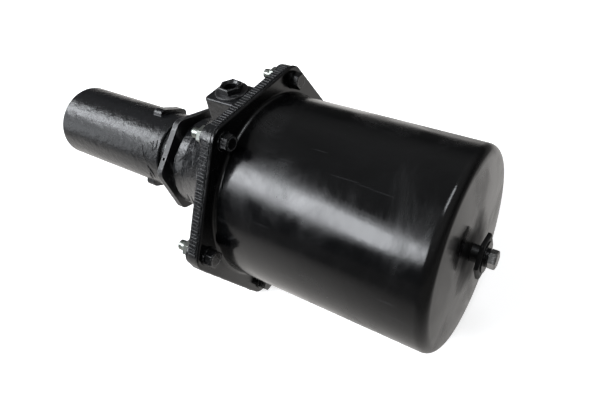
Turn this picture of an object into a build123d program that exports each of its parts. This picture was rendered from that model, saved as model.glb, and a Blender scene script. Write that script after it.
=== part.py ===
"""Piston-type spring brake chamber, modelled as separate pieces.

Frame: X runs along the chamber's axis from the sleeve's mouth (X = 0) to the release bolt,
Z points to the air port, and the origin is the centre of the sleeve's mouth. Millimetres.
At rest the air is out, so the power spring holds the piston against the housing.
"""

import os
from math import cos, hypot, pi, radians, sin

from build123d import *

# --- Fits -------------------------------------------------------------------------------
running_clearance = 0.05  # radial, between a moving piece and its guide
fixed_clearance = 0.05  # radial, between two pieces that are fastened together
seat_gap = 0.3  # between a moving piece at its stop and the stop
stroke_gap = 2.0  # left where one piece comes towards another over the whole stroke
cut_margin = 1.0  # that a cut starts outside the solid

# --- Sleeve -----------------------------------------------------------------------------
sleeve_radius = 36.5
sleeve_length = 140.0
pilot_radius = 29.0
pilot_depth = 35.0
sleeve_bore_radius = 26.0
sleeve_edge_round = 1.2
spigot_radius = 33.0
spigot_length = 46.0
spigot_chamfer = 1.5
lug_x = 109.5
lug_thickness = 10.0
lug_width = 34.0
lug_top_radius = 39.0
lug_depth = 8.0
lug_angle = 60.0  # from +Y towards +Z
lug_corner = 5.0  # of the two outer corners

# --- Lock nut and thrust ring on the sleeve's thread -------------------------------------
thrust_ring_radius = 40.5
thrust_ring_thickness = 5.0
thread_run = 10.0  # bare thread between the sleeve's shoulder and the ring
lock_nut_width = 90.0  # across its flats
lock_nut_thickness = 5.6
lock_nut_turn = -18.0
lock_nut_corner = 9.0
lock_screw_radius = 1.3
lock_screw_depth = 7.0
lock_screw_offset = 11.0  # along the flat, from its middle
neck_gap = 5.4

# --- Cast housing -----------------------------------------------------------------------
neck_radius = 42.5
neck_length = 12.0
neck_draft = 1.5
neck_round = 3.0
flare_middle_x = 27.0  # from the neck's inner end
flare_middle_drop = 28.5  # below the can's radius
flare_end_rise = 0.5  # above the can's radius
housing_length = 83.0
flange_land = 11.5  # from the can's wall to the middle of a flat
flange_corner = 13.0
cast_flange_corner = 17.0
cast_flange_thickness = 8.0
cast_wall = 8.0
thread_bore_depth = 23.0
hub_thickness = 28.0
cavity_rise = 10.0  # axial, from the hub to the cavity's shoulder
cavity_middle_drop = 27.0  # below the can's radius
cavity_land = 4.0  # face that the piston rests on
bolt_pad_radius = 11.2
bolt_pad_height = 4.2
bolt_pad_round = 2.0

# --- Air port ---------------------------------------------------------------------------
port_offset = 24.5  # from the housing's joint face to the port's axis
boss_drop = 2.5  # below the flange's top flat
boss_width = 30.0
boss_shift = 1.5  # towards -Y
boss_length = 33.0
boss_corner = 3.5
boss_edge_round = 1.8
port_bore_radius = 5.2
bushing_thread_radius = 7.0
bushing_flats = 17.2
bushing_head_height = 5.2
bushing_shank_length = 13.0
bushing_end_gap = 1.0
bushing_turn = -6.0
bushing_chamfer = 0.7
bushing_mouth_radius = 7.0
port_washer_radius = 13.7
port_washer_thickness = 1.3
port_passage_radius = 4.5

# --- Can --------------------------------------------------------------------------------
can_radius = 82.5
can_wall = 2.5
can_length = 180.0
can_corner = 8.0
can_dome = 1.6
can_root_round = 2.8
can_flange_thickness = 2.5
can_flange_round = 1.0
gasket_thickness = 0.6
gasket_recess = 1.2

# --- Flange fasteners -------------------------------------------------------------------
bolt_count = 6
bolt_edge = 14.0  # from a bolt to the flange's sharp corner
bolt_radius = 4.0
bolt_hole_radius = 4.5
bolt_head_flats = 13.0
bolt_head_height = 6.8
bolt_end_reach = 8.0  # beyond the nut
bolt_end_chamfer = 0.9
washer_radius = 8.0
washer_thickness = 1.6
nut_flats = 13.0
nut_height = 6.8
hex_chamfer = 0.5

# --- Push rod ---------------------------------------------------------------------------
rod_radius = 12.5
rod_tip_x = 40.0
rod_hole_gap = 1.0  # radial, where a wall only lets the rod through
rod_head_radius = 17.0
rod_head_length = 18.0
rod_head_socket_radius = 8.0
rod_head_socket_depth = 3.0
rod_neck_radius = 9.0
rod_neck_length = 12.0
rod_end_radius = 9.0
rod_end_reach = 1.0  # beyond the nut
rod_oring_radius = 1.5

# --- Rod guides and seal ----------------------------------------------------------------
sleeve_bush_radius = 17.0
sleeve_bush_length = 16.0
rod_bush_radius = 17.5
rod_bush_length = 18.0
rod_seal_radius = 20.0
rod_seal_length = 6.0
seal_washer_thickness = 1.6
snap_ring_width = 1.8
snap_ring_depth = 1.6
snap_ring_face = 2.5
sleeve_seal_radius = 27.0
sleeve_seal_section = 1.6

# --- Piston -----------------------------------------------------------------------------
stroke = 60.0
piston_gap = 0.6  # radial, piston to can: the wear ring guides it
piston_length = 32.0
piston_web = 7.0
piston_skirt_wall = 8.0
piston_hub_radius = 24.0
piston_hub_front = 6.0
piston_hub_rear = 9.0
piston_root_round = 3.0
seal_groove_x = 5.0
seal_groove_width = 7.0
seal_groove_depth = 4.5
wear_groove_x = 18.0
wear_groove_width = 9.0
wear_groove_depth = 2.2
seal_lip_depth = 2.0
seal_lip_width = 2.4

# --- Guide tube of the release bolt -------------------------------------------------------
guide_tube_radius = 20.0
guide_tube_wall = 4.0
guide_tube_base = 3.0
guide_collar_thickness = 5.0
guide_collar_depth = 7.0
guide_collar_ledge = 2.0
guide_collar_bore_gap = 1.5
rod_washer_radius = 13.0
rod_washer_thickness = 2.5
rod_nut_flats = 24.0
rod_nut_height = 8.0

# --- Power spring -----------------------------------------------------------------------
spring_wire_radius = 7.75
spring_skirt_gap = 4.9
spring_pitch = 26.5
spring_seat_width = 10.0  # each side of the coil's mean radius
spring_seat_thickness = 2.2
spring_seat_lip = 6.0

# --- Release bolt -----------------------------------------------------------------------
release_bolt_radius = 5.0
release_head_flats = 13.0
release_head_height = 5.6
release_head_chamfer = 0.8
release_head_turn = 40.0
release_nut_flats = 31.5
release_nut_turn = 50.0
release_nut_thickness = 3.2
release_nut_chamfer = 1.0
release_shoulder_radius = 7.0
release_shoulder_length = 7.5
release_shank_radius = 6.4
release_ring_radius = 15.0
release_ring_thickness = 5.0
release_ring_gap = 0.1  # the ring's flat face under the domed end
release_shank_reach = 2.0
release_collar_radius = 7.5
release_collar_length = 2.6
release_rim_radius = 12.4
release_rim_thickness = 0.8
release_travel = 12.0
release_button_radius = 12.0
release_button_length = 8.0
release_button_bore = 3.6

# --- Stations along X, worked out from the sizes above ------------------------------------
rod_head_end_x = rod_tip_x + rod_head_length
sleeve_floor_x = rod_head_end_x + stroke + stroke_gap
thrust_ring_x = sleeve_length + thread_run
lock_nut_x = thrust_ring_x + thrust_ring_thickness
neck_x = lock_nut_x + lock_nut_thickness + neck_gap
joint_x = neck_x + housing_length
cast_flange_x = joint_x - cast_flange_thickness
can_flange_x = joint_x + gasket_thickness
can_front_x = can_flange_x + can_flange_thickness
can_end_x = can_front_x + can_length
can_pole_x = can_end_x + can_dome
can_inner_radius = can_radius - can_wall
flange_half = can_radius + flange_land
bolt_circle_radius = flange_half / cos(pi / bolt_count) - bolt_edge
boss_top_z = flange_half - boss_drop
flare_middle_radius = can_radius - flare_middle_drop
flare_end_radius = can_radius + flare_end_rise
cavity_middle_radius = can_radius - cavity_middle_drop
cavity_mouth_radius = can_inner_radius - cavity_land
hub_x = neck_x + thread_bore_depth
hub_end_x = hub_x + hub_thickness
port_x = joint_x - port_offset
piston_x = joint_x + seat_gap
piston_radius = can_inner_radius - piston_gap
piston_seat_x = piston_x + piston_web
hub_front_x = piston_x - piston_hub_front
hub_rear_x = piston_x + piston_hub_rear
rod_nut_x = hub_rear_x + guide_tube_base + rod_washer_thickness
rod_end_x = rod_nut_x + rod_nut_height + rod_end_reach
release_button_x = rod_end_x + stroke + stroke_gap
guide_collar_x = release_button_x + release_button_length + release_travel + seat_gap
guide_tube_end_x = guide_collar_x + guide_collar_depth
guide_bore_radius = guide_tube_radius - guide_tube_wall
spring_mean_radius = piston_radius - piston_skirt_wall - spring_skirt_gap - spring_wire_radius
spring_seat_inner = spring_mean_radius - spring_seat_width
spring_seat_outer = spring_mean_radius + spring_seat_width
spring_end_x = can_end_x - can_wall - spring_seat_thickness
release_shoulder_x = can_pole_x
release_nut_x = release_shoulder_x + release_shoulder_length
release_collar_x = release_nut_x + release_nut_thickness + seat_gap
release_head_x = release_collar_x + release_collar_length + seat_gap
spigot_end_x = sleeve_length + spigot_length
rod_bush_x = hub_x + seat_gap
rod_seal_x = rod_bush_x + rod_bush_length
seal_washer_x = rod_seal_x + rod_seal_length
snap_ring_x = seal_washer_x + seal_washer_thickness
bolt_seat_x = can_front_x + washer_thickness
nut_seat_x = cast_flange_x - bolt_pad_height
bolt_end_x = nut_seat_x - nut_height - bolt_end_reach
washer_z = boss_top_z + port_washer_thickness


def ring(x, length, outer, inner):
    """A plain ring about the X axis, added to the part under construction."""
    with BuildSketch(Plane.YZ.offset(x)) as section:
        Circle(outer)
        Circle(inner, mode=Mode.SUBTRACT)
    extrude(section.sketch, amount=length)


def bolt_pattern(x, length, radius, mode=Mode.ADD):
    """Round bars or holes on the flange's bolt circle."""
    with BuildSketch(Plane.YZ.offset(x)) as section:
        with PolarLocations(bolt_circle_radius, bolt_count):
            Circle(radius)
    extrude(section.sketch, amount=length, mode=mode)


def flange_plate(x, length, corner, inset=0.0):
    """The hexagonal flange's outline, flats at the top and bottom, corners rounded."""
    with BuildSketch(Plane.YZ.offset(x)) as outline:
        RegularPolygon(flange_half - inset, bolt_count, major_radius=False)
        fillet(outline.vertices(), corner)
    extrude(outline.sketch, amount=length)


# --- Sleeve: a cast tube with two wrench lugs and a threaded spigot ------------------------
with BuildPart() as sleeve:
    with BuildSketch(Plane.XY):
        with BuildLine():
            Polyline(
                (0, pilot_radius),
                (0, sleeve_radius),
                (sleeve_length, sleeve_radius),
                (sleeve_length, spigot_radius),
                (spigot_end_x, spigot_radius),
                (spigot_end_x, rod_radius + rod_hole_gap),
                (sleeve_floor_x + sleeve_bush_length, rod_radius + rod_hole_gap),
                (sleeve_floor_x + sleeve_bush_length, sleeve_bush_radius),
                (sleeve_floor_x, sleeve_bush_radius),
                (sleeve_floor_x, sleeve_bore_radius),
                (pilot_depth, sleeve_bore_radius),
                (pilot_depth, pilot_radius),
                close=True,
            )
        make_face()
    revolve(axis=Axis.X)
    body_edges = sleeve.edges().filter_by(GeomType.CIRCLE)
    outer_edges = [edge for edge in body_edges if abs(edge.radius - sleeve_radius) < 0.01]
    fillet(outer_edges, sleeve_edge_round)
    thread_edges = sleeve.edges().filter_by(GeomType.CIRCLE).group_by(Axis.X)[-1]
    chamfer(thread_edges.sort_by(SortBy.RADIUS)[-1], spigot_chamfer)
    with BuildPart(mode=Mode.PRIVATE) as lugs:
        with BuildSketch(Plane.YZ.offset(lug_x)):
            with PolarLocations(lug_top_radius - lug_depth / 2, 2, start_angle=lug_angle):
                Rectangle(lug_depth, lug_width)
        extrude(amount=lug_thickness)
        side_edges = lugs.edges().filter_by(Axis.X)
        fillet([edge for edge in side_edges if hypot(edge.center().Y, edge.center().Z) > lug_top_radius], lug_corner)
    add(lugs.part)
    with BuildSketch(Plane.YZ.offset(spigot_end_x)):
        Circle(sleeve_seal_radius + sleeve_seal_section)
        Circle(sleeve_seal_radius - sleeve_seal_section, mode=Mode.SUBTRACT)
    extrude(amount=-1.6 * sleeve_seal_section, mode=Mode.SUBTRACT)
sleeve.part.label = "sleeve"

with BuildPart() as thrust_ring:
    ring(thrust_ring_x, thrust_ring_thickness, thrust_ring_radius, spigot_radius + fixed_clearance)
    chamfer(thrust_ring.edges().filter_by(GeomType.CIRCLE).sort_by(SortBy.RADIUS)[-2:], 0.6)
thrust_ring.part.label = "thrust_ring"

with BuildPart() as lock_nut:
    with BuildSketch(Plane.YZ.offset(lock_nut_x)) as nut_outline:
        RegularPolygon(lock_nut_width / 2, 6, major_radius=False, rotation=lock_nut_turn)
        fillet(nut_outline.vertices(), lock_nut_corner)
        Circle(spigot_radius + fixed_clearance, mode=Mode.SUBTRACT)
    extrude(amount=lock_nut_thickness)
    screw_angle = radians(150 + lock_nut_turn)
    screw_axis = Vector(0, cos(screw_angle), sin(screw_angle))
    screw_side = Vector(0, -sin(screw_angle), cos(screw_angle))
    screw_middle = Vector(lock_nut_x + lock_nut_thickness / 2, 0, 0) + screw_axis * (lock_nut_width / 2)
    screw_middle = screw_middle + screw_side * lock_screw_offset
    with BuildSketch(Plane(screw_middle, x_dir=(1, 0, 0), z_dir=screw_axis)):
        Circle(lock_screw_radius)
    extrude(amount=-lock_screw_depth, mode=Mode.SUBTRACT)
lock_nut.part.label = "lock_nut"

with BuildPart() as sleeve_seal:
    with BuildSketch(Plane.XY):
        with Locations((spigot_end_x - 0.6 * sleeve_seal_section, sleeve_seal_radius)):
            Circle(sleeve_seal_section - fixed_clearance)
    revolve(axis=Axis.X)
sleeve_seal.part.label = "sleeve_seal"

with BuildPart() as sleeve_bush:
    ring(
        sleeve_floor_x,
        sleeve_bush_length,
        sleeve_bush_radius - fixed_clearance,
        rod_radius + running_clearance,
    )
sleeve_bush.part.label = "sleeve_bush"

# --- Cast housing: neck, flare and hexagonal flange in one casting -------------------------
with BuildPart() as housing:
    flare_x = neck_x + neck_length
    with BuildSketch(Plane.XY):
        with BuildLine():
            Line((neck_x, 0), (neck_x, neck_radius))
            Line((neck_x, neck_radius), (flare_x, neck_radius + neck_draft))
            ThreePointArc(
                (flare_x, neck_radius + neck_draft),
                (flare_x + flare_middle_x, flare_middle_radius),
                (joint_x, flare_end_radius),
            )
            Line((joint_x, flare_end_radius), (joint_x, 0))
            Line((joint_x, 0), (neck_x, 0))
        make_face()
    revolve(axis=Axis.X)
    fillet(housing.edges().filter_by(GeomType.CIRCLE).sort_by(Axis.X)[0], neck_round)
    flange_plate(cast_flange_x, cast_flange_thickness, cast_flange_corner)
    with BuildPart(mode=Mode.PRIVATE) as pads:
        bolt_pattern(nut_seat_x, bolt_pad_height, bolt_pad_radius)
        fillet(pads.edges().group_by(Axis.X)[0], bolt_pad_round)
    add(pads.part)
    with BuildPart(mode=Mode.PRIVATE) as boss:
        with BuildSketch(Plane.XY.offset(boss_top_z)):
            with Locations((cast_flange_x - boss_length / 2 + boss_corner, -boss_shift)):
                RectangleRounded(boss_length + 2 * boss_corner, boss_width, boss_corner)
        extrude(amount=-(boss_top_z - neck_radius))
        fillet(boss.faces().sort_by(Axis.Z)[-1].edges(), boss_edge_round)
    add(boss.part)
    with BuildSketch(Plane.XY):
        with BuildLine():
            Line((hub_end_x, 0), (hub_end_x, neck_radius - cast_wall))
            ThreePointArc(
                (hub_end_x, neck_radius - cast_wall),
                (hub_end_x + cavity_rise, cavity_middle_radius),
                (joint_x, cavity_mouth_radius),
            )
            Line((joint_x, cavity_mouth_radius), (joint_x, 0))
            Line((joint_x, 0), (hub_end_x, 0))
        make_face()
    revolve(axis=Axis.X, mode=Mode.SUBTRACT)
    with BuildSketch(Plane.YZ.offset(neck_x)):
        Circle(spigot_radius + fixed_clearance)
    extrude(amount=thread_bore_depth, mode=Mode.SUBTRACT)
    with BuildSketch(Plane.YZ.offset(hub_x)):
        Circle(rod_bush_radius)
    extrude(amount=hub_thickness, mode=Mode.SUBTRACT)
    with BuildSketch(Plane.YZ.offset(rod_seal_x)):
        Circle(rod_seal_radius)
    extrude(amount=hub_end_x - rod_seal_x, mode=Mode.SUBTRACT)
    with BuildSketch(Plane.YZ.offset(snap_ring_x)):
        Circle(rod_seal_radius + snap_ring_depth)
    extrude(amount=snap_ring_width, mode=Mode.SUBTRACT)
    with BuildSketch(Plane.YZ.offset(neck_x)):
        Circle(rod_radius + rod_hole_gap)
    extrude(amount=hub_thickness, mode=Mode.SUBTRACT)
    with BuildSketch(Plane.XY.offset(boss_top_z)):
        with Locations((port_x, 0)):
            Circle(bushing_thread_radius + fixed_clearance)
    extrude(amount=-(bushing_shank_length + bushing_end_gap), mode=Mode.SUBTRACT)
    with BuildSketch(Plane.XY.offset(boss_top_z)):
        with Locations((port_x, 0)):
            Circle(port_passage_radius)
    extrude(amount=-(boss_top_z - neck_radius), mode=Mode.SUBTRACT)
    bolt_pattern(joint_x, -(joint_x - nut_seat_x), bolt_hole_radius, Mode.SUBTRACT)
housing.part.label = "housing"

with BuildPart() as rod_bush:
    ring(
        rod_bush_x,
        rod_bush_length,
        rod_bush_radius - fixed_clearance,
        rod_radius + running_clearance,
    )
rod_bush.part.label = "rod_bush"

with BuildPart() as rod_seal:
    with BuildSketch(Plane.XY) as seal_section:
        with BuildLine():
            Polyline(
                (rod_seal_x, rod_radius + running_clearance),
                (rod_seal_x, rod_seal_radius - fixed_clearance),
                (seal_washer_x, rod_seal_radius - fixed_clearance),
                (seal_washer_x, rod_seal_radius - seal_lip_width),
                (seal_washer_x - rod_seal_length / 2, rod_radius + rod_seal_length / 2),
                (seal_washer_x, rod_radius + seal_lip_width),
                (seal_washer_x, rod_radius + running_clearance),
                close=True,
            )
        make_face()
    revolve(axis=Axis.X)
rod_seal.part.label = "rod_seal"

with BuildPart() as seal_washer:
    ring(
        seal_washer_x,
        seal_washer_thickness,
        rod_seal_radius - fixed_clearance,
        rod_radius + rod_hole_gap,
    )
seal_washer.part.label = "seal_washer"

with BuildPart() as snap_ring:
    with BuildSketch(Plane.YZ.offset(snap_ring_x)):
        Circle(rod_seal_radius + snap_ring_depth - fixed_clearance)
        Circle(rod_seal_radius - snap_ring_face, mode=Mode.SUBTRACT)
        with Locations((0, -rod_seal_radius)):
            Rectangle(2 * snap_ring_face, 4 * snap_ring_face, mode=Mode.SUBTRACT)
    extrude(amount=snap_ring_width - fixed_clearance)
snap_ring.part.label = "snap_ring"

# --- Air port: sealing washer and hexagonal bushing ----------------------------------------
with BuildPart() as port_washer:
    with BuildSketch(Plane.XY.offset(boss_top_z)):
        with Locations((port_x, 0)):
            Circle(port_washer_radius)
            Circle(bushing_thread_radius + fixed_clearance, mode=Mode.SUBTRACT)
    extrude(amount=port_washer_thickness)
    fillet(port_washer.edges().group_by(Axis.Z)[-1].sort_by(SortBy.RADIUS)[-1], 0.5)
port_washer.part.label = "port_washer"

with BuildPart() as port_bushing:
    with BuildSketch(Plane.XY.offset(washer_z)):
        with Locations((port_x, 0)):
            RegularPolygon(bushing_flats / 2, 6, major_radius=False, rotation=bushing_turn)
    extrude(amount=bushing_head_height)
    chamfer(port_bushing.faces().sort_by(Axis.Z)[-1].edges(), bushing_chamfer)
    with BuildSketch(Plane.XY.offset(washer_z)):
        with Locations((port_x, 0)):
            Circle(bushing_thread_radius)
    extrude(amount=-(port_washer_thickness + bushing_shank_length))
    with Locations((port_x, 0, washer_z + bushing_head_height)):
        CounterSinkHole(port_bore_radius, bushing_mouth_radius, counter_sink_angle=90)
port_bushing.part.label = "port_bushing"

# --- Can: a drawn cup with a domed end and a hexagonal flange ------------------------------
with BuildPart() as can:
    with BuildSketch(Plane.XY):
        with BuildLine():
            Line((can_front_x, 0), (can_front_x, can_radius))
            Line((can_front_x, can_radius), (can_end_x - can_corner, can_radius))
            RadiusArc(
                (can_end_x - can_corner, can_radius),
                (can_end_x, can_radius - can_corner),
                can_corner,
            )
            ThreePointArc(
                (can_end_x, can_radius - can_corner),
                (can_end_x + 0.75 * can_dome, (can_radius - can_corner) / 2),
                (can_pole_x, 0),
            )
            Line((can_pole_x, 0), (can_front_x, 0))
        make_face()
    revolve(axis=Axis.X)
    flange_plate(can_flange_x, can_flange_thickness, flange_corner)
    root_edges = can.edges().filter_by(GeomType.CIRCLE)
    root_edges = [edge for edge in root_edges if abs(edge.radius - can_radius) < 0.01]
    fillet(ShapeList(root_edges).sort_by(Axis.X)[0], can_root_round)
    flange_face = can.faces().filter_by(Axis.X).sort_by(SortBy.AREA)[-2:].sort_by(Axis.X)[-1]
    fillet(flange_face.outer_wire().edges(), can_flange_round)
    with BuildSketch(Plane.XY):
        with BuildLine():
            inner_end_x = can_end_x - can_wall
            inner_corner = can_corner - can_wall
            Line((can_flange_x, 0), (can_flange_x, can_inner_radius))
            Line((can_flange_x, can_inner_radius), (inner_end_x - inner_corner, can_inner_radius))
            RadiusArc(
                (inner_end_x - inner_corner, can_inner_radius),
                (inner_end_x, can_inner_radius - inner_corner),
                inner_corner,
            )
            ThreePointArc(
                (inner_end_x, can_inner_radius - inner_corner),
                (inner_end_x + 0.75 * can_dome, (can_inner_radius - inner_corner) / 2),
                (inner_end_x + can_dome, 0),
            )
            Line((inner_end_x + can_dome, 0), (can_flange_x, 0))
        make_face()
    revolve(axis=Axis.X, mode=Mode.SUBTRACT)
    with BuildSketch(Plane.YZ.offset(can_pole_x + cut_margin)):
        Circle(release_shank_radius + fixed_clearance)
    extrude(amount=-(can_wall + can_dome + 2 * cut_margin), mode=Mode.SUBTRACT)
    bolt_pattern(can_flange_x, can_flange_thickness, bolt_hole_radius, Mode.SUBTRACT)
can.part.label = "can"

with BuildPart() as flange_gasket:
    flange_plate(joint_x, gasket_thickness, cast_flange_corner, gasket_recess)
    with BuildSketch(Plane.YZ.offset(joint_x)):
        Circle(can_inner_radius)
    extrude(amount=gasket_thickness, mode=Mode.SUBTRACT)
    bolt_pattern(joint_x, gasket_thickness, bolt_hole_radius, Mode.SUBTRACT)
flange_gasket.part.label = "flange_gasket"

# --- Flange fasteners -----------------------------------------------------------------------
with BuildPart() as flange_bolts:
    with BuildSketch(Plane.YZ.offset(bolt_seat_x)):
        with PolarLocations(bolt_circle_radius, bolt_count):
            RegularPolygon(bolt_head_flats / 2, 6, major_radius=False)
    extrude(amount=bolt_head_height)
    chamfer(flange_bolts.edges().group_by(Axis.X)[-1], hex_chamfer)
    bolt_pattern(bolt_end_x, bolt_seat_x - bolt_end_x, bolt_radius)
    chamfer(flange_bolts.edges().group_by(Axis.X)[0], bolt_end_chamfer)
flange_bolts.part.label = "flange_bolts"

with BuildPart() as bolt_washers:
    bolt_pattern(can_front_x, washer_thickness, washer_radius)
    bolt_pattern(can_front_x, washer_thickness, bolt_radius + fixed_clearance, Mode.SUBTRACT)
bolt_washers.part.label = "bolt_washers"

with BuildPart() as flange_nuts:
    with BuildSketch(Plane.YZ.offset(nut_seat_x)):
        with PolarLocations(bolt_circle_radius, bolt_count):
            RegularPolygon(nut_flats / 2, 6, major_radius=False)
            Circle(bolt_radius + fixed_clearance, mode=Mode.SUBTRACT)
    extrude(amount=-nut_height)
    nut_edges = flange_nuts.edges().group_by(Axis.X)[0].filter_by(GeomType.LINE)
    chamfer(nut_edges, hex_chamfer)
flange_nuts.part.label = "flange_nuts"

# --- Push rod -------------------------------------------------------------------------------
with BuildPart() as push_rod:
    with BuildSketch(Plane.XY):
        with BuildLine():
            Polyline(
                (rod_head_end_x - rod_neck_length, 0),
                (rod_head_end_x - rod_neck_length, rod_neck_radius),
                (rod_head_end_x, rod_neck_radius),
                (rod_head_end_x, rod_radius),
                (hub_front_x, rod_radius),
                (hub_front_x, rod_end_radius),
                (rod_end_x, rod_end_radius),
                (rod_end_x, 0),
                close=True,
            )
        make_face()
    revolve(axis=Axis.X)
    chamfer(push_rod.edges().group_by(Axis.X)[-1], 1.2)
push_rod.part.label = "push_rod"

with BuildPart() as rod_head:
    with BuildSketch(Plane.YZ.offset(rod_tip_x)):
        Circle(rod_head_radius)
    extrude(amount=rod_head_length)
    fillet(rod_head.edges().filter_by(GeomType.CIRCLE).sort_by(Axis.X)[0], 2.0)
    with BuildSketch(Plane.YZ.offset(rod_tip_x)):
        Circle(rod_head_socket_radius)
    extrude(amount=rod_head_socket_depth, mode=Mode.SUBTRACT)
    with BuildSketch(Plane.YZ.offset(rod_head_end_x)):
        Circle(rod_neck_radius + fixed_clearance)
    extrude(amount=-rod_neck_length, mode=Mode.SUBTRACT)
rod_head.part.label = "rod_head"

with BuildPart() as rod_oring:
    with BuildSketch(Plane.XY):
        oring_reach = rod_end_radius + fixed_clearance + rod_oring_radius
        with Locations((piston_x + 2 * rod_oring_radius, oring_reach)):
            Circle(rod_oring_radius)
    revolve(axis=Axis.X)
rod_oring.part.label = "rod_oring"

# --- Piston: a cup with a hub, a seal groove and a wear-ring groove --------------------------
with BuildPart() as piston:
    piston_end_x = piston_x + piston_length
    skirt_inner = piston_radius - piston_skirt_wall
    seal_x = piston_x + seal_groove_x
    wear_x = piston_x + wear_groove_x
    with BuildSketch(Plane.XY):
        with BuildLine():
            Polyline(
                (hub_front_x, rod_end_radius + fixed_clearance),
                (hub_front_x, piston_hub_radius),
                (piston_x, piston_hub_radius + piston_hub_front),
                (piston_x, piston_radius),
                (piston_end_x, piston_radius),
                (piston_end_x, skirt_inner),
                (piston_seat_x, skirt_inner),
                (piston_seat_x, piston_hub_radius),
                (hub_rear_x, piston_hub_radius),
                (hub_rear_x, rod_end_radius + fixed_clearance),
                close=True,
            )
        make_face()
    revolve(axis=Axis.X)
    rim_edges = piston.edges().filter_by(GeomType.CIRCLE)
    root = [edge for edge in rim_edges if abs(edge.radius - skirt_inner) < 0.01]
    fillet(ShapeList(root).sort_by(Axis.X)[0], piston_root_round)
    rim = [edge for edge in rim_edges if abs(edge.radius - piston_radius) < 0.01]
    chamfer(rim, 1.0)
    with BuildSketch(Plane.YZ.offset(seal_x)):
        Circle(piston_radius + cut_margin)
        Circle(piston_radius - seal_groove_depth, mode=Mode.SUBTRACT)
    extrude(amount=seal_groove_width, mode=Mode.SUBTRACT)
    with BuildSketch(Plane.YZ.offset(wear_x)):
        Circle(piston_radius + cut_margin)
        Circle(piston_radius - wear_groove_depth, mode=Mode.SUBTRACT)
    extrude(amount=wear_groove_width, mode=Mode.SUBTRACT)
    with BuildSketch(Plane.XY):
        with Locations((piston_x + 2 * rod_oring_radius, oring_reach)):
            Circle(rod_oring_radius + fixed_clearance)
    revolve(axis=Axis.X, mode=Mode.SUBTRACT)
piston.part.label = "piston"

with BuildPart() as piston_seal:
    seal_top = can_inner_radius - running_clearance
    seal_bottom = piston_radius - seal_groove_depth + fixed_clearance
    seal_end_x = seal_x + seal_groove_width - fixed_clearance
    with BuildSketch(Plane.XY):
        with BuildLine():
            Polyline(
                (seal_x + fixed_clearance, seal_bottom),
                (seal_x + fixed_clearance, seal_bottom + seal_lip_width / 2),
                (seal_x + fixed_clearance + seal_lip_depth, seal_bottom + seal_lip_width),
                (seal_x + fixed_clearance, seal_top - seal_lip_width / 2),
                (seal_x + fixed_clearance, seal_top),
                (seal_x + fixed_clearance + seal_lip_depth, seal_top),
                (seal_end_x, seal_top - seal_lip_width / 4),
                (seal_end_x, seal_bottom),
                close=True,
            )
        make_face()
    revolve(axis=Axis.X)
piston_seal.part.label = "piston_seal"

with BuildPart() as wear_ring:
    ring(
        wear_x + fixed_clearance,
        wear_groove_width - 2 * fixed_clearance,
        can_inner_radius - running_clearance,
        piston_radius - wear_groove_depth + fixed_clearance,
    )
wear_ring.part.label = "wear_ring"

# --- Guide tube that the release bolt's button runs in ----------------------------------------
with BuildPart() as guide_tube:
    collar_seat = guide_bore_radius + guide_collar_ledge
    with BuildSketch(Plane.XY):
        with BuildLine():
            Polyline(
                (hub_rear_x, rod_end_radius + fixed_clearance),
                (hub_rear_x, piston_hub_radius),
                (hub_rear_x + guide_tube_base, piston_hub_radius),
                (hub_rear_x + guide_tube_base, guide_tube_radius),
                (guide_tube_end_x, guide_tube_radius),
                (guide_tube_end_x, collar_seat),
                (guide_collar_x, collar_seat),
                (guide_collar_x, guide_bore_radius),
                (hub_rear_x + guide_tube_base, guide_bore_radius),
                (hub_rear_x + guide_tube_base, rod_end_radius + fixed_clearance),
                close=True,
            )
        make_face()
    revolve(axis=Axis.X)
guide_tube.part.label = "guide_tube"

with BuildPart() as guide_collar:
    ring(
        guide_collar_x,
        guide_collar_thickness,
        collar_seat - fixed_clearance,
        release_bolt_radius + guide_collar_bore_gap,
    )
guide_collar.part.label = "guide_collar"

with BuildPart() as guide_snap_ring:
    ring(
        guide_collar_x + guide_collar_thickness,
        guide_collar_depth - guide_collar_thickness,
        collar_seat - fixed_clearance,
        collar_seat - snap_ring_face,
    )
guide_snap_ring.part.label = "guide_snap_ring"

with BuildPart() as rod_washer:
    ring(
        hub_rear_x + guide_tube_base,
        rod_washer_thickness,
        rod_washer_radius,
        rod_end_radius + fixed_clearance,
    )
rod_washer.part.label = "rod_washer"

with BuildPart() as rod_nut:
    with BuildSketch(Plane.YZ.offset(rod_nut_x)):
        RegularPolygon(rod_nut_flats / 2, 6, major_radius=False)
        Circle(rod_end_radius + fixed_clearance, mode=Mode.SUBTRACT)
    extrude(amount=rod_nut_height)
    chamfer(rod_nut.edges().group_by(Axis.X)[-1].filter_by(GeomType.LINE), hex_chamfer)
rod_nut.part.label = "rod_nut"

# --- Power spring: a coil ground flat at both ends --------------------------------------------
spring_start_x = piston_seat_x + seat_gap
spring_length = spring_end_x - spring_start_x
with BuildPart() as power_spring:
    with BuildLine() as coil:
        Helix(
            spring_pitch,
            spring_length,
            spring_mean_radius,
            center=(spring_start_x, 0, 0),
            direction=(1, 0, 0),
        )
    with BuildSketch(Plane(origin=coil.line @ 0, z_dir=coil.line % 0)):
        Circle(spring_wire_radius)
    sweep(path=coil.line, is_frenet=True)
    with BuildSketch(Plane.YZ.offset(spring_start_x)):
        Circle(spring_mean_radius + 2 * spring_wire_radius)
    extrude(amount=spring_length, mode=Mode.INTERSECT)
power_spring.part.label = "power_spring"

with BuildPart() as spring_seat:
    ring(spring_end_x, spring_seat_thickness, spring_seat_outer, spring_seat_inner)
    ring(
        spring_end_x - spring_seat_lip,
        spring_seat_lip,
        spring_seat_inner + spring_seat_thickness,
        spring_seat_inner,
    )
spring_seat.part.label = "spring_seat"

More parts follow.
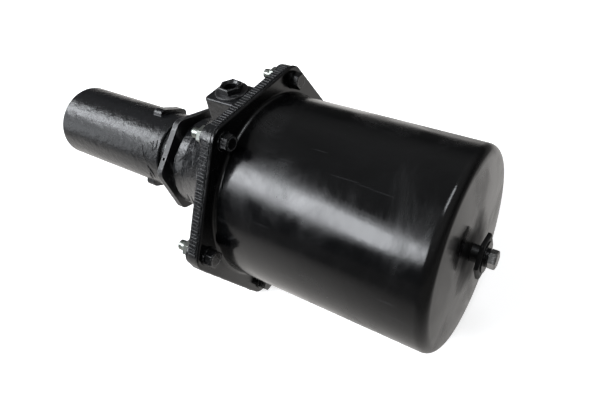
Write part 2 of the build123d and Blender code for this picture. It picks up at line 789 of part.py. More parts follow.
# --- Release nut, ring, collar and bolt on the can's end --------------------------------------
with BuildPart() as release_nut:
    with BuildSketch(Plane.YZ.offset(release_nut_x)):
        RegularPolygon(release_nut_flats / 2, 6, major_radius=False, rotation=release_nut_turn)
    extrude(amount=release_nut_thickness)
    chamfer(release_nut.edges().group_by(Axis.X)[-1], release_nut_chamfer)
    with BuildSketch(Plane.YZ.offset(release_shoulder_x)):
        Circle(release_shoulder_radius)
    extrude(amount=release_shoulder_length)
    release_shank_x = release_shoulder_x - can_wall - release_ring_thickness - release_shank_reach
    with BuildSketch(Plane.YZ.offset(release_shank_x)):
        Circle(release_shank_radius)
    extrude(amount=release_shoulder_x - release_shank_x)
    with BuildSketch(Plane.YZ.offset(release_shank_x)):
        Circle(release_bolt_radius + running_clearance)
    extrude(amount=release_nut_x + release_nut_thickness - release_shank_x, mode=Mode.SUBTRACT)
release_nut.part.label = "release_nut"

with BuildPart() as release_ring:
    ring(
        release_shoulder_x - can_wall - release_ring_thickness,
        release_ring_thickness - release_ring_gap,
        release_ring_radius,
        release_shank_radius + fixed_clearance,
    )
    chamfer(release_ring.edges().group_by(Axis.X)[0].sort_by(SortBy.RADIUS)[-1], 1.0)
release_ring.part.label = "release_ring"

with BuildPart() as release_collar:
    ring(
        release_collar_x,
        release_collar_length,
        release_collar_radius,
        release_bolt_radius + running_clearance,
    )
    ring(
        release_collar_x,
        release_rim_thickness,
        release_rim_radius,
        release_bolt_radius + running_clearance,
    )
    outer_edges = release_collar.edges().filter_by(GeomType.CIRCLE).group_by(Axis.X)[-1]
    chamfer(outer_edges.sort_by(SortBy.RADIUS)[-1], 0.4)
release_collar.part.label = "release_collar"

with BuildPart() as release_bolt:
    release_spigot_x = release_button_x + release_button_length
    with BuildSketch(Plane.YZ.offset(release_head_x)):
        RegularPolygon(release_head_flats / 2, 6, major_radius=False, rotation=release_head_turn)
    extrude(amount=release_head_height)
    chamfer(release_bolt.edges().group_by(Axis.X)[-1], release_head_chamfer)
    with BuildSketch(Plane.YZ.offset(release_spigot_x)):
        Circle(release_bolt_radius)
    extrude(amount=release_head_x - release_spigot_x)
    with BuildSketch(Plane.YZ.offset(release_button_x)):
        Circle(release_button_bore)
    extrude(amount=release_button_length)
release_bolt.part.label = "release_bolt"

with BuildPart() as release_button:
    ring(
        release_button_x,
        release_button_length,
        release_button_radius,
        release_button_bore + fixed_clearance,
    )
    chamfer(release_button.edges().filter_by(GeomType.CIRCLE).sort_by(SortBy.RADIUS)[-2:], 0.8)
release_button.part.label = "release_button"

# --- Output -------------------------------------------------------------------------------------
pieces = [
    sleeve,
    thrust_ring,
    lock_nut,
    sleeve_seal,
    sleeve_bush,
    housing,
    rod_bush,
    rod_seal,
    seal_washer,
    snap_ring,
    port_washer,
    port_bushing,
    can,
    flange_gasket,
    flange_bolts,
    bolt_washers,
    flange_nuts,
    push_rod,
    rod_head,
    rod_oring,
    piston,
    piston_seal,
    wear_ring,
    guide_tube,
    guide_collar,
    guide_snap_ring,
    rod_washer,
    rod_nut,
    power_spring,
    spring_seat,
    release_nut,
    release_ring,
    release_collar,
    release_bolt,
    release_button,
]
os.makedirs("parts", exist_ok=True)
for piece in pieces:
    export_step(piece.part, f"parts/{piece.part.label}.step")
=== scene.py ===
"""Looks of the spring brake chamber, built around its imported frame. Metres, in the row frame."""

import math
import random

import bmesh
import bpy
from mathutils import Matrix, Vector
from mathutils.bvhtree import BVHTree

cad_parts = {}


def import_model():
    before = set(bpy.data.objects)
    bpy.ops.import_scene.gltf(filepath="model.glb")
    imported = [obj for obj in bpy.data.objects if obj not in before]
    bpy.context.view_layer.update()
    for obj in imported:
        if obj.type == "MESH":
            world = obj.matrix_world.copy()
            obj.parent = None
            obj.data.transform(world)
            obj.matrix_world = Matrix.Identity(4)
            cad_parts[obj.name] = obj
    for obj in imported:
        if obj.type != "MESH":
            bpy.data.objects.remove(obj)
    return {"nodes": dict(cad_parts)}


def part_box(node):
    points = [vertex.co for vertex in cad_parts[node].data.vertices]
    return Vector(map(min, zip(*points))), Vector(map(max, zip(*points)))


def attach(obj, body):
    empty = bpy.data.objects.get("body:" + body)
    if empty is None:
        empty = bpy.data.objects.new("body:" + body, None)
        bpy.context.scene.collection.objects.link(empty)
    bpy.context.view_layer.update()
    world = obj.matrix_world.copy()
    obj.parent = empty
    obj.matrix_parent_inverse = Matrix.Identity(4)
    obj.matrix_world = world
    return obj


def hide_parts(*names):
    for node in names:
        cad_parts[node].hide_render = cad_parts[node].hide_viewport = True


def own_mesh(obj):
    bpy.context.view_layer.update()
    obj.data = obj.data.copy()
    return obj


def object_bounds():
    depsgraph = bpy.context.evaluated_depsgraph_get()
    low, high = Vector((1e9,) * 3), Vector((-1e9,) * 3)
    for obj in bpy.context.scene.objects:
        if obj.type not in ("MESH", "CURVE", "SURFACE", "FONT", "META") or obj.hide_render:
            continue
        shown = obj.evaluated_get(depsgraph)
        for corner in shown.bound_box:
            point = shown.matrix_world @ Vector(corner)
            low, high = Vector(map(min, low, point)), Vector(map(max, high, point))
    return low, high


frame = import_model()
cad_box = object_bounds()


# --- Sizes of the solids, which the looks and the added pieces follow -------------------------

CAN_CORNER_X = (0.424, 0.430)  # where the can's side turns into its end
NUT_SHADE_RADII = (0.042, 0.024)  # from plain paint to the painted shade and rougher paint round the release nut
FLAT_APOTHEM = 0.0940  # from the axis to the flange's flats
FLAT_REACH = 0.0462  # from a flat's middle to its rounded corner
CAST_RIM_X = 0.2415
CAST_RIM_WIDTH = 0.0070
BOLT_COUNT = 6
BOLT_CIRCLE = 0.09454
BOLT_RADIUS = 0.0040
HEAD_FACE_X = (0.2590, 0.2595)
HEAD_HIGHLIGHT_RING_RADII = (0.0046, 0.0056)
STUD_BARE_X = (0.2360, 0.2370)  # where the bolts' zinc gives way to black paint
STUD_THREAD_X = (0.2226, 0.2297)
STUD_PITCH = 0.00125
SPIGOT_RADIUS = 0.0330
SPIGOT_THREADS_X = ((0.1412, 0.1490), (0.1616, 0.1652))
SPIGOT_PITCH = 0.002
COIL_WIRE_RADIUS = 0.00775
COIL_PITCH = 0.0265


def linked(name, data):
    """A new object in the scene that shows data."""
    made = bpy.data.objects.new(name, data)
    bpy.context.scene.collection.objects.link(made)
    return made


def turned(right, up, out):
    """The rotation that carries X, Y and Z to three directions."""
    return Matrix((right, up, out)).transposed().to_4x4()


def spoke(angle):
    """The direction out from the chamber's axis, at an angle from +Y towards +Z."""
    return Vector((0.0, math.cos(angle), math.sin(angle)))


# --- Camera ---------------------------------------------------------------------------------

CAMERA_PLACE = (0.5207, -0.2842, 0.3313)
CAMERA_BACK = (0.4583, -0.6177, 0.6389)
CAMERA_RIGHT = (0.8472, 0.5209, -0.1041)

camera_data = bpy.data.cameras.new("camera")
camera_data.lens = 34.10
camera_data.sensor_width = 36.0
camera_data.shift_x = -0.0452
camera_data.shift_y = -0.0501
camera_data.clip_start = 0.01
camera = linked("camera", camera_data)
back = Vector(CAMERA_BACK).normalized()
right = Vector(CAMERA_RIGHT)
right = (right - back * right.dot(back)).normalized()
camera.matrix_world = Matrix.Translation(CAMERA_PLACE) @ turned(right, back.cross(right), back)
bpy.context.scene.camera = camera
bpy.context.scene.view_settings.view_transform = "Standard"


# --- Node helpers ---------------------------------------------------------------------------


class Tree:
    """A material's node tree, built by short calls that each return a socket."""

    def __init__(self, name):
        self.material = bpy.data.materials.new(name)
        self.material.use_nodes = True
        self.nodes = self.material.node_tree.nodes
        self.links = self.material.node_tree.links
        self.nodes.clear()
        self.place = self.add("ShaderNodeTexCoord").outputs["Object"]

    def add(self, kind, inputs=None, **properties):
        node = self.nodes.new(kind)
        for key, value in properties.items():
            setattr(node, key, value)
        for key, value in (inputs or {}).items():
            if isinstance(value, bpy.types.NodeSocket):
                self.links.new(value, node.inputs[key])
            else:
                node.inputs[key].default_value = value
        return node

    def math(self, operation, a, b=0.0):
        return self.add("ShaderNodeMath", {0: a, 1: b}, operation=operation).outputs[0]

    def stretched(self, scale, turn=(0.0, 0.0, 0.0)):
        inputs = {"Vector": self.place, "Rotation": turn, "Scale": scale}
        return self.add("ShaderNodeMapping", inputs).outputs["Vector"]

    def noise(self, scale, detail=3.0, roughness=0.55, vector=None, distortion=0.0):
        inputs = {
            "Vector": vector or self.place,
            "Scale": scale,
            "Detail": detail,
            "Roughness": roughness,
            "Distortion": distortion,
        }
        return self.add("ShaderNodeTexNoise", inputs).outputs["Fac"]

    def spots(self, scale, size):
        """1 inside round spots of a Voronoi pattern, 0 between them."""
        cells = self.add("ShaderNodeTexVoronoi", {"Vector": self.place, "Scale": scale})
        return self.between(cells.outputs["Distance"], size, size * 0.6)

    def between(self, value, low, high, to_low=0.0, to_high=1.0):
        """value carried from low..high to to_low..to_high, and held there outside."""
        inputs = {
            "Value": value,
            "From Min": low,
            "From Max": high,
            "To Min": to_low,
            "To Max": to_high,
        }
        return self.add("ShaderNodeMapRange", inputs, clamp=True).outputs["Result"]

    def mix(self, share, first, second):
        node = self.add("ShaderNodeMix", {"Factor": share}, data_type="RGBA")
        for socket, value in ((node.inputs[6], first), (node.inputs[7], second)):
            if isinstance(value, bpy.types.NodeSocket):
                self.links.new(value, socket)
            else:
                socket.default_value = (*value, 1.0)
        return node.outputs[2]

    def bevel(self, radius):
        return self.add("ShaderNodeBevel", {"Radius": radius}, samples=6).outputs["Normal"]

    def edges(self, radius, low=0.004, high=0.10):
        """1 on sharp edges, 0 on faces."""
        flat = self.add("ShaderNodeNewGeometry").outputs["Normal"]
        inputs = {0: self.bevel(radius), 1: flat}
        alike = self.add("ShaderNodeVectorMath", inputs, operation="DOT_PRODUCT").outputs["Value"]
        return self.between(self.math("SUBTRACT", 1.0, alike), low, high)

    def bump(self, height, depth, strength=1.0, normal=None):
        inputs = {"Height": height, "Distance": depth, "Strength": strength}
        if normal is not None:
            inputs["Normal"] = normal
        return self.add("ShaderNodeBump", inputs).outputs["Normal"]

    def product(self, *values):
        result = values[0]
        for value in values[1:]:
            result = self.math("MULTIPLY", result, value)
        return result

    def within(self, value, low, high, soft_edge):
        """1 between low and high, falling to 0 over soft_edge outside them."""
        above = self.between(value, low - soft_edge, low)
        return self.product(above, self.between(value, high + soft_edge, high))

    def sum(self, a, b):
        return self.math("ADD", a, b)

    def polar(self):
        """X, the distance from the chamber's axis and the angle round it."""
        x, y, z = self.add("ShaderNodeSeparateXYZ", {0: self.place}).outputs
        return x, self.length(y, z), self.math("ARCTAN2", z, y)

    def length(self, a, b):
        return self.math("SQRT", self.math("ADD", self.product(a, a), self.product(b, b)))

    def from_bolts(self):
        """Distance from the nearest bolt of the flange's circle."""
        _, radius, angle = self.polar()
        share = 2 * math.pi / BOLT_COUNT
        turns = self.math("ROUND", self.math("DIVIDE", angle, share))
        fold = self.math("SUBTRACT", angle, self.product(turns, share))
        out = self.math("SUBTRACT", self.product(radius, self.math("COSINE", fold)), BOLT_CIRCLE)
        return self.length(out, self.product(radius, self.math("SINE", fold)))

    def faces_x(self):
        """How far the surface faces along X: 1 forwards or backwards, 0 sideways."""
        normal = self.add("ShaderNodeNewGeometry").outputs["Normal"]
        return self.math("ABSOLUTE", self.add("ShaderNodeSeparateXYZ", {0: normal}).outputs[0])

    def finish(self, **inputs):
        """The material, with a Principled shader whose inputs are named with _ for a space."""
        sockets = {name.replace("_", " "): value for name, value in inputs.items()}
        shader = self.add("ShaderNodeBsdfPrincipled", sockets)
        output = self.add("ShaderNodeOutputMaterial")
        self.links.new(shader.outputs[0], output.inputs["Surface"])
        return self.material


# --- Materials ------------------------------------------------------------------------------


def can_paint():
    """Satin black paint on drawn steel, with smudges and faint scratches, a painted shade and
    rougher paint round the nut, and a lighter end face that is a painted reflection.
    """
    t = Tree("can_paint")
    x, radius, _ = t.polar()
    smudge = t.noise(9.0, 4.0, 0.6, t.stretched((1.0, 2.2, 2.2)), 0.6)
    cloud = t.noise(17.0, 6.0, 0.66, t.stretched((1.0, 0.8, 0.8)), 1.4)
    wipe = t.noise(55.0, 4.0, 0.6, t.stretched((1.0, 0.22, 0.22)), 0.3)
    streaks = t.noise(120.0, 2.0, 0.5, t.stretched((0.12, 3.0, 3.0), (0.2, 0.4, 0.1)))
    scratch = t.between(streaks, 0.69, 0.73)
    speck = t.product(t.spots(230.0, 0.07), t.between(t.noise(14.0, 2.0), 0.52, 0.6))
    end = t.between(x, *CAN_CORNER_X)
    uneven_radius = t.sum(radius, t.product(t.noise(60.0), 0.012))
    # painted shade: the end face darkens round the release nut, where the nut's shade falls, and
    # is rougher there
    painted_shade_round_nut = t.product(end, t.between(uneven_radius, *NUT_SHADE_RADII))
    dark, light = (0.0009, 0.0010, 0.0012), (0.0034, 0.0035, 0.0038)
    colour = t.mix(t.between(smudge, 0.40, 0.72), dark, light)
    colour = t.mix(t.product(t.between(cloud, 0.52, 0.68), 0.6), colour, (0.0085, 0.0085, 0.0090))
    # painted reflection: the end face gets a lighter, warm grey, as if it reflected the pale floor
    colour = t.mix(t.product(end, 0.6), colour, (0.0105, 0.0100, 0.0096))
    colour = t.mix(t.product(scratch, 0.22), colour, (0.05, 0.05, 0.052))
    colour = t.mix(t.product(speck, 0.5), colour, (0.10, 0.10, 0.10))
    # painted shade round the release nut
    colour = t.mix(painted_shade_round_nut, colour, (0.0012, 0.0012, 0.0012))
    rough = t.sum(t.between(cloud, 0.40, 0.62, 0.11, 0.27), t.between(wipe, 0.4, 0.7, -0.02, 0.06))
    rough = t.sum(rough, t.product(painted_shade_round_nut, 0.38))
    waves = t.noise(32.0, 3.0, 0.5, t.stretched((1.0, 0.5, 0.5)))
    normal = t.bump(waves, 0.00030, 1.0, t.bevel(0.0012))
    normal = t.bump(t.noise(700.0, 2.0, 0.5), 0.00002, 1.0, normal)
    return t.finish(Base_Color=colour, Roughness=rough, Normal=normal)


def casting_paint():
    """Glossy black paint pooled over a sand casting, thin and grey along the edges."""
    t = Tree("casting_paint")
    grain = t.noise(520.0, 3.0, 0.6)
    lumps = t.noise(150.0, 3.0, 0.5)
    patch = t.noise(22.0, 3.0, 0.6)
    edge = t.edges(0.0011, 0.006, 0.12)
    dark, light = (0.0022, 0.0024, 0.0028), (0.0085, 0.0090, 0.0100)
    colour = t.mix(t.between(grain, 0.35, 0.75), dark, light)
    thin = t.product(edge, t.between(lumps, 0.40, 0.60), 0.5)
    colour = t.mix(thin, colour, (0.070, 0.072, 0.075))
    colour = t.mix(t.product(t.spots(260.0, 0.10), 0.3), colour, (0.10, 0.10, 0.10))
    rough = t.sum(t.between(patch, 0.3, 0.7, 0.17, 0.28), t.between(grain, 0.3, 0.7, 0.03, -0.03))
    normal = t.bump(lumps, 0.0008, 0.8, t.bevel(0.0012))
    normal = t.bump(grain, 0.00026, 0.9, normal)
    return t.finish(Base_Color=colour, Roughness=rough, Normal=normal)


def plate_paint():
    """Thin black paint on plate, rubbed through to grey steel on faces and edges."""
    t = Tree("plate_paint")
    patch = t.noise(60.0, 4.0, 0.6)
    wear = t.noise(140.0, 5.0, 0.7, t.stretched((1.0, 1.0, 0.4)))
    rub = t.product(t.between(wear, 0.55, 0.68), 0.45)
    worn = t.math("MAXIMUM", t.product(t.edges(0.0009), t.between(patch, 0.40, 0.58)), rub)
    colour = t.mix(t.between(patch, 0.4, 0.7), (0.004, 0.004, 0.0045), (0.012, 0.012, 0.013))
    colour = t.mix(worn, colour, (0.34, 0.34, 0.34))
    rough = t.between(patch, 0.3, 0.7, 0.30, 0.44)
    normal = t.bump(t.noise(500.0, 3.0, 0.6), 0.00010, 1.0, t.bevel(0.0007))
    return t.finish(Base_Color=colour, Metallic=worn, Roughness=rough, Normal=normal)


def black_fastener():
    """Black painted heads and washers, a painted highlight ring of grey metal on each head's face,
    and zinc on the studs' ends.
    """
    t = Tree("black_fastener")
    x = t.polar()[0]
    away = t.from_bolts()
    patch = t.noise(180.0, 3.0, 0.6)
    # painted highlight: a ring of grey metal on each head's face, where its bevel would catch the
    # light
    ring = t.product(t.within(away, *HEAD_HIGHLIGHT_RING_RADII, 0.0003), t.between(x, *HEAD_FACE_X))
    ring = t.product(ring, t.between(patch, 0.35, 0.5))
    chipped = t.product(t.edges(0.0005), t.between(patch, 0.50, 0.64), 0.5)
    # worn holds the chipped edges and, weaker, the painted highlight ring
    worn = t.math("MAXIMUM", chipped, t.product(ring, 0.35))
    zinc = t.product(t.between(x, STUD_BARE_X[1], STUD_BARE_X[0]), t.between(x, 0.20, 0.21))
    colour = t.mix(t.between(patch, 0.4, 0.7), (0.0012, 0.0012, 0.0014), (0.0040, 0.0040, 0.0044))
    colour = t.mix(worn, colour, (0.30, 0.30, 0.30))
    colour = t.mix(zinc, colour, (0.42, 0.46, 0.42))
    rough = t.between(patch, 0.3, 0.7, 0.16, 0.30)
    normal = t.bump(t.noise(320.0, 3.0, 0.6), 0.00035, 1.0, t.bevel(0.0006))
    metallic = t.math("MAXIMUM", worn, zinc)
    return t.finish(Base_Color=colour, Metallic=metallic, Roughness=rough, Normal=normal)


def bushing_paint():
    """Thick glossy black paint on the port's bushing."""
    t = Tree("bushing_paint")
    patch = t.noise(150.0, 3.0, 0.6)
    colour = t.mix(t.between(patch, 0.4, 0.7), (0.0020, 0.0020, 0.0022), (0.0060, 0.0062, 0.0068))
    chipped = t.product(t.edges(0.0006), t.between(patch, 0.5, 0.6), 0.4)
    colour = t.mix(chipped, colour, (0.12, 0.12, 0.12))
    rough = t.between(patch, 0.3, 0.7, 0.14, 0.26)
    normal = t.bump(t.noise(260.0, 3.0, 0.5), 0.00022, 1.0, t.bevel(0.0008))
    return t.finish(Base_Color=colour, Roughness=rough, Normal=normal)


def nut_face_highlight():
    """Phosphated plate nut: black sides, and a grey face that is a painted highlight, with a dark
    rim line.
    """
    t = Tree("nut_face_highlight")
    patch = t.noise(90.0, 4.0, 0.65)
    # painted highlight: faces that look along the axis are made grey metal, as if lit
    face = t.between(t.faces_x(), 0.8, 0.9)
    rim = t.math("SUBTRACT", 1.0, t.edges(0.0014, 0.002, 0.05))
    grey = t.product(face, rim, t.between(patch, 0.25, 0.65, 0.55, 1.0))
    colour = t.mix(grey, (0.0035, 0.0035, 0.0038), (0.110, 0.110, 0.108))
    rough = t.between(patch, 0.3, 0.7, 0.34, 0.50)
    normal = t.bump(t.noise(620.0, 3.0, 0.6), 0.00009, 1.0, t.bevel(0.0006))
    metallic = t.product(grey, 0.7)
    return t.finish(Base_Color=colour, Metallic=metallic, Roughness=rough, Normal=normal)


def metal(name, dark, light, rough, grain_scale, grain_depth, stretch=(1.0, 1.0, 1.0)):
    """Bare or plated metal with cloudy tarnish and its own grain."""
    t = Tree(name)
    cloud = t.noise(130.0, 4.0, 0.6)
    grain = t.noise(grain_scale, 3.0, 0.6, t.stretched(stretch))
    colour = t.mix(t.between(cloud, 0.25, 0.75), dark, light)
    clouded = t.between(cloud, 0.3, 0.7, rough + 0.08, rough - 0.05)
    roughness = t.sum(clouded, t.between(grain, 0.3, 0.7, -0.03, 0.03))
    normal = t.bump(grain, grain_depth, 1.0, t.bevel(0.0004))
    return t.finish(Base_Color=colour, Metallic=1.0, Roughness=roughness, Normal=normal)


def soft(name, dark, light, rough, grain_scale, grain_depth):
    """Rubber, fibre or nylon: a plain body with fine grain and a little bloom."""
    t = Tree(name)
    grain = t.noise(grain_scale, 4.0, 0.65)
    bloom = t.noise(70.0, 3.0, 0.6)
    colour = t.mix(t.between(bloom, 0.35, 0.7), dark, light)
    roughness = t.between(grain, 0.3, 0.7, rough - 0.06, rough + 0.06)
    normal = t.bump(grain, grain_depth, 1.0, t.bevel(0.0003))
    return t.finish(Base_Color=colour, Roughness=roughness, Normal=normal)


# name: dark colour, light colour, roughness, grain's scale, grain's depth and, if any, its stretch
METALS = {
    "zinc_plate": ((0.24, 0.25, 0.235), (0.50, 0.53, 0.49), 0.32, 600.0, 0.00004),
    "bare_steel": ((0.36,) * 3, (0.58, 0.58, 0.57), 0.28, 900.0, 0.00003, (3.0, 0.4, 0.4)),
    "spring_steel": ((0.045, 0.046, 0.050), (0.11, 0.11, 0.115), 0.42, 700.0, 0.00005),
    "bearing_bronze": ((0.42, 0.24, 0.10), (0.62, 0.40, 0.19), 0.34, 800.0, 0.00004),
    "piston_aluminium": ((0.48, 0.49, 0.50), (0.66, 0.67, 0.68), 0.36, 500.0, 0.00006),
}
SOFT = {
    "black_rubber": ((0.012,) * 3, (0.030,) * 3, 0.62, 900.0, 0.00004),
    "gasket_fibre": ((0.030, 0.028, 0.025), (0.055, 0.050, 0.044), 0.80, 1100.0, 0.00006),
    "wear_ring_nylon": ((0.50, 0.47, 0.38), (0.62, 0.60, 0.50), 0.48, 700.0, 0.00003),
}
looks = {
    "can_paint": can_paint(),
    "casting_paint": casting_paint(),
    "plate_paint": plate_paint(),
    "black_fastener": black_fastener(),
}
looks.update({name: metal(name, *values) for name, values in METALS.items()})
looks.update({name: soft(name, *values) for name, values in SOFT.items()})

own_looks = {"port_bushing": bushing_paint(), "release_nut": nut_face_highlight()}
for name, node in frame["nodes"].items():
    for place in node.material_slots:
        place.material = own_looks.get(name) or looks[place.material.name.split(".")[0]]


# --- Pieces that the plain solids lack ------------------------------------------------------

AXIS = Vector((0.0, 0.0, 0.0))  # a point on the chamber's axis
ROOT = 0.0002  # how far a ridge is sunk into the solid under it
DEEP_ROOT = 0.0003
THREAD_ENDS = 8  # steps over which a thread's ridge grows to its full height
SAWN_FLATS = (30, 90, 150, 210, 330)  # degrees from +Y; 270 is the flat it lies on
VEIN_STEP = 0.0012
VEIN_RADIUS = 0.04  # about that of the castings that have veins
RAY_START = 0.15  # outside everything


def along_x(distance):
    return Vector((distance, 0.0, 0.0))


class Shape:
    """Collects swept ridges into one piece on the chamber."""

    def __init__(self):
        self.points, self.faces = [], []

    def sweep(self, path, outs, profile, scales=None):
        """A closed ridge along path. outs points outwards, profile is (across, out)."""
        start, count, last = len(self.points), len(profile), len(path) - 1
        for step, (point, out) in enumerate(zip(path, outs)):
            tangent = (path[min(step + 1, last)] - path[max(step - 1, 0)]).normalized()
            side = tangent.cross(out).normalized()
            scale = scales[step] if scales else 1.0
            for across, height in profile:
                self.points.append(point + (side * across + out * height) * scale)
        for first in range(start, start + last * count, count):
            ahead = first + count
            for corner in range(count):
                beside = (corner + 1) % count
                sides = (first + corner, first + beside, ahead + beside, ahead + corner)
                self.faces.append(sides)
        for end in (start, start + last * count):
            self.faces.append(tuple(range(end, end + count)))

    def thread(self, origin, radius, start, end, pitch, profile, steps_a_turn):
        """A thread's helical ridge round the X axis through origin, from start to end."""
        steps = int((end - start) / pitch * steps_a_turn)
        path, outs = [], []
        for step in range(steps + 1):
            out = spoke(2 * math.pi * step / steps_a_turn)
            outs.append(out)
            path.append(origin + out * radius + along_x(start + pitch * step / steps_a_turn))
        to_end = [min(step, steps - step) for step in range(steps + 1)]
        self.sweep(path, outs, profile, [min(1.0, 0.15 + left / THREAD_ENDS) for left in to_end])

    def finish(self, name, look, smooth=False):
        """The piece, with its sides shaded smooth if asked and its ends left flat."""
        mesh = bpy.data.meshes.new(name)
        mesh.from_pydata(self.points, [], self.faces)
        shell = bmesh.new()
        shell.from_mesh(mesh)
        bmesh.ops.recalc_face_normals(shell, faces=shell.faces)
        shell.to_mesh(mesh)
        shell.free()
        rounded = [smooth and len(face.vertices) == 4 for face in mesh.polygons]
        mesh.polygons.foreach_set("use_smooth", rounded)
        mesh.materials.append(looks[look])
        made = linked(name, mesh)
        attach(made, "chamber")
        return made


def stud_threads():
    """Rolled threads on the bolts' ends behind the flange nuts."""
    shape = Shape()
    profile = ((-0.00048, -ROOT), (0.0, 0.00032), (0.00048, -ROOT))
    for bolt in range(BOLT_COUNT):
        origin = spoke(2 * math.pi * bolt / BOLT_COUNT) * BOLT_CIRCLE
        shape.thread(origin, BOLT_RADIUS, *STUD_THREAD_X, STUD_PITCH, profile, 20)
    shape.finish("stud_threads", "zinc_plate")


def spigot_thread():
    """The sleeve's thread where it shows, on either side of the ring and the lock nut."""
    shape = Shape()
    crest = 0.0007
    profile = ((-0.0008, -DEEP_ROOT), (-0.0001, crest), (0.0001, crest), (0.0008, -DEEP_ROOT))
    for start, end in SPIGOT_THREADS_X:
        shape.thread(AXIS, SPIGOT_RADIUS, start, end, SPIGOT_PITCH, profile, 72)
    shape.finish("spigot_thread", "casting_paint")


def saw_marks():
    """Ridges across the casting's sawn flats, all but the one it lies on."""
    shape, chance = Shape(), random.Random(11)
    for flat in SAWN_FLATS:
        turn = math.radians(flat)
        out = spoke(turn)
        along = Vector((0.0, -math.sin(turn), math.cos(turn)))
        place = -FLAT_REACH
        while place < FLAT_REACH:
            height = chance.uniform(0.00035, 0.00075)
            width = chance.uniform(0.0007, 0.0012)
            lean = chance.uniform(0.0002, 0.0009)
            near = out * FLAT_APOTHEM + along * place + along_x(CAST_RIM_X)
            far = near + along * lean + along_x(CAST_RIM_WIDTH)
            profile = ((-width, -ROOT), (0.0, height), (width, -ROOT))
            shape.sweep([near, far], [out, out], profile)
            place += chance.uniform(0.0023, 0.0035)
    shape.finish("saw_marks", "casting_paint")


def creases(name, node, count, x_range, angle_range, longest, seed):
    """Raised veins of paint and sand on a casting, each of at most longest steps."""
    shape, chance = Shape(), random.Random(seed)
    surface = BVHTree.FromObject(frame["nodes"][node], bpy.context.evaluated_depsgraph_get())
    crest = 0.00075
    profile = ((-0.0010, -DEEP_ROOT), (-0.0003, crest), (0.0003, crest), (0.0010, -DEEP_ROOT))
    for _ in range(count):
        x, angle = chance.uniform(*x_range), math.radians(chance.uniform(*angle_range))
        heading, steps = chance.uniform(-0.7, 0.7), chance.randint(longest // 2, longest)
        path, outs = [], []
        for _ in range(steps):
            ray = spoke(angle)
            hit, normal, _, _ = surface.ray_cast(along_x(x) + ray * RAY_START, -ray)
            path.append(hit)
            outs.append(normal)
            heading += chance.uniform(-0.3, 0.3)
            x = min(max(x + VEIN_STEP * math.sin(heading), x_range[0]), x_range[1])
            angle += VEIN_STEP * math.cos(heading) / VEIN_RADIUS
        swell = [math.sin(math.pi * step / (steps - 1)) for step in range(steps)]
        shape.sweep(path, outs, profile, [0.25 + 0.75 * share for share in swell])
    shape.finish(name, "casting_paint", True)


def power_coil():
    """The power spring made again as a coil of round wire, in place of the solid one, which is
    hidden.
    """
    low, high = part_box("power_spring")
    steps_a_turn, wire_sides = 40, 16
    radius = COIL_WIRE_RADIUS
    mean, length = high.y - radius, high.x - low.x
    steps = int(length / COIL_PITCH * steps_a_turn)
    path, outs = [], []
    for step in range(steps + 1):
        out = spoke(math.pi / 2 + 2 * math.pi * length / COIL_PITCH * step / steps)
        outs.append(out)
        path.append(out * mean + along_x(low.x + length * step / steps))
    turns = [2 * math.pi * side / wire_sides for side in range(wire_sides)]
    wire = [(math.sin(turn) * radius, math.cos(turn) * radius) for turn in turns]
    shape = Shape()
    shape.sweep(path, outs, wire)
    for point in shape.points:  # ground flat at both ends
        point.x = min(max(point.x, low.x), high.x)
    coil = shape.finish("power_coil", "spring_steel", True)
    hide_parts("power_spring")
    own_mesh(coil)


stud_threads()
spigot_thread()
saw_marks()
creases("sleeve_creases", "sleeve", 6, (0.108, 0.137), (120, 185), 16, 5)
creases("neck_creases", "housing", 12, (0.168, 0.212), (110, 200), 26, 8)
power_coil()


# --- Floor and light ------------------------------------------------------------------------


FLOOR_HALF = 6.0
FLOOR_GAP = 0.0002  # under the flat that the chamber lies on
WHITE = (1.0, 1.0, 1.0, 1.0)
LAMP_COLOUR = (0.93, 0.96, 1.0)


def floor():
    """White for the camera, with the object's shadow; a lit pool on a dim table in reflections."""
    size, z = FLOOR_HALF, cad_box[0].z - FLOOR_GAP
    mesh = bpy.data.meshes.new("floor")
    corners = [(-size, -size, z), (size, -size, z), (size, size, z), (-size, size, z)]
    mesh.from_pydata(corners, [], [(0, 1, 2, 3)])
    t = Tree("floor_white")
    rays = t.add("ShaderNodeLightPath").outputs
    x, y, _ = t.add("ShaderNodeSeparateXYZ", {0: t.place}).outputs
    pale = t.add("ShaderNodeBsdfDiffuse", {"Color": (0.86, 0.86, 0.86, 1.0)})
    glowing = t.between(t.length(x, y), 0.9, 1.8, 0.75, 1.3)  # so that no horizon shows
    glow = t.add("ShaderNodeEmission", {"Strength": t.product(rays["Is Camera Ray"], glowing)})
    seen = t.add("ShaderNodeAddShader", {0: pale.outputs[0], 1: glow.outputs[0]})
    away = t.length(t.product(x, 0.8), y)
    beside_end = t.length(t.math("SUBTRACT", x, 0.52), t.math("SUBTRACT", y, 0.36))
    behind = t.product(t.between(y, 0.06, 0.20), t.between(x, 0.42, 0.12), t.between(y, 1.6, 0.8))
    pool = t.between(away, 0.20, 0.50, 0.95, 0.12)
    strength = t.sum(pool, t.between(beside_end, 0.10, 0.30, 0.60, 0.0))
    strength = t.math("MAXIMUM", strength, behind)
    colour = (1.0, 0.975, 0.95, 1.0)
    reflected = t.add("ShaderNodeEmission", {"Color": colour, "Strength": strength})
    inputs = {0: rays["Is Glossy Ray"], 1: seen.outputs[0], 2: reflected.outputs[0]}
    surface = t.add("ShaderNodeMixShader", inputs)
    output = t.add("ShaderNodeOutputMaterial")
    t.links.new(surface.outputs[0], output.inputs["Surface"])
    mesh.materials.append(t.material)
    linked("floor", mesh)


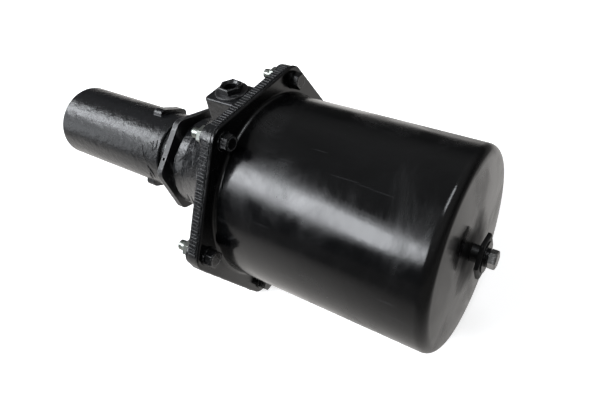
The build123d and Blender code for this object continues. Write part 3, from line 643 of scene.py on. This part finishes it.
def panel(name, start, end, target, height, radiance):
    """A soft light from start to end, its height tilted to face the target."""
    start, end = Vector(start), Vector(end)
    centre = (start + end) / 2
    along = (end - start).normalized()
    look = centre - Vector(target)
    look = (look - along * look.dot(along)).normalized()
    data = bpy.data.lights.new(name, "AREA")
    data.shape = "RECTANGLE"
    data.size, data.size_y = (end - start).length, height
    data.energy = math.pi * data.size * data.size_y * radiance
    data.color = LAMP_COLOUR
    lamp = linked(name, data)
    lamp.matrix_world = Matrix.Translation(centre) @ turned(along, look.cross(along), look)


def world():
    """A dim room in reflections, darker round the horizon than overhead; white for the camera."""
    made = bpy.data.worlds.new("studio")
    made.use_nodes = True
    nodes, links = made.node_tree.nodes, made.node_tree.links
    height = nodes.new("ShaderNodeSeparateXYZ")
    links.new(nodes.new("ShaderNodeTexCoord").outputs["Generated"], height.inputs[0])
    ramp = nodes.new("ShaderNodeMapRange")
    stops = (("From Min", 0.30), ("From Max", 0.65), ("To Min", 0.035), ("To Max", 0.18))
    for key, value in stops:
        ramp.inputs[key].default_value = value
    links.new(height.outputs["Z"], ramp.inputs["Value"])
    seen = nodes.new("ShaderNodeMath")
    seen.operation = "MAXIMUM"
    links.new(ramp.outputs["Result"], seen.inputs[0])
    links.new(nodes.new("ShaderNodeLightPath").outputs["Is Camera Ray"], seen.inputs[1])
    background = nodes["Background"]
    background.inputs["Color"].default_value = WHITE
    links.new(seen.outputs[0], background.inputs["Strength"])
    bpy.context.scene.world = made


floor()
world()

CHAMBER = (0.25, 0.0, 0.0)  # what the key lights face
# four strips of growing height in one place, so that the key fades towards its edges
KEY_STRIPS = ((0.26, 5.0), (0.34, 5.0), (0.43, 4.0), (0.58, 1.3))
for height, radiance in KEY_STRIPS:
    name = "key_%d" % (height * 100)
    panel(name, (-0.86, -0.17, 0.70), (0.12, -1.03, 0.58), CHAMBER, height, radiance)
PANELS = (
    ("key_core", (-0.45, -0.58, 0.69), (-0.20, -0.80, 0.67), CHAMBER, 0.26, 8.0),
    ("key_end", (-0.20, -0.76, 0.62), (0.14, -1.06, 0.57), CHAMBER, 0.30, 6.0),
    ("top", (0.50, -0.25, 1.15), (0.62, 0.30, 1.15), (0.43, 0.0, 0.05), 0.24, 7.0),
    ("backdrop", (-1.06, -0.55, 0.18), (-0.70, -0.95, 0.18), (0.10, 0.0, 0.0), 0.54, 2.2),
    ("sleeve_light", (-1.15, -0.10, 0.72), (-0.80, -0.55, 0.72), (0.05, 0.0, 0.0), 0.34, 6.0),
)
for values in PANELS:
    panel(*values)
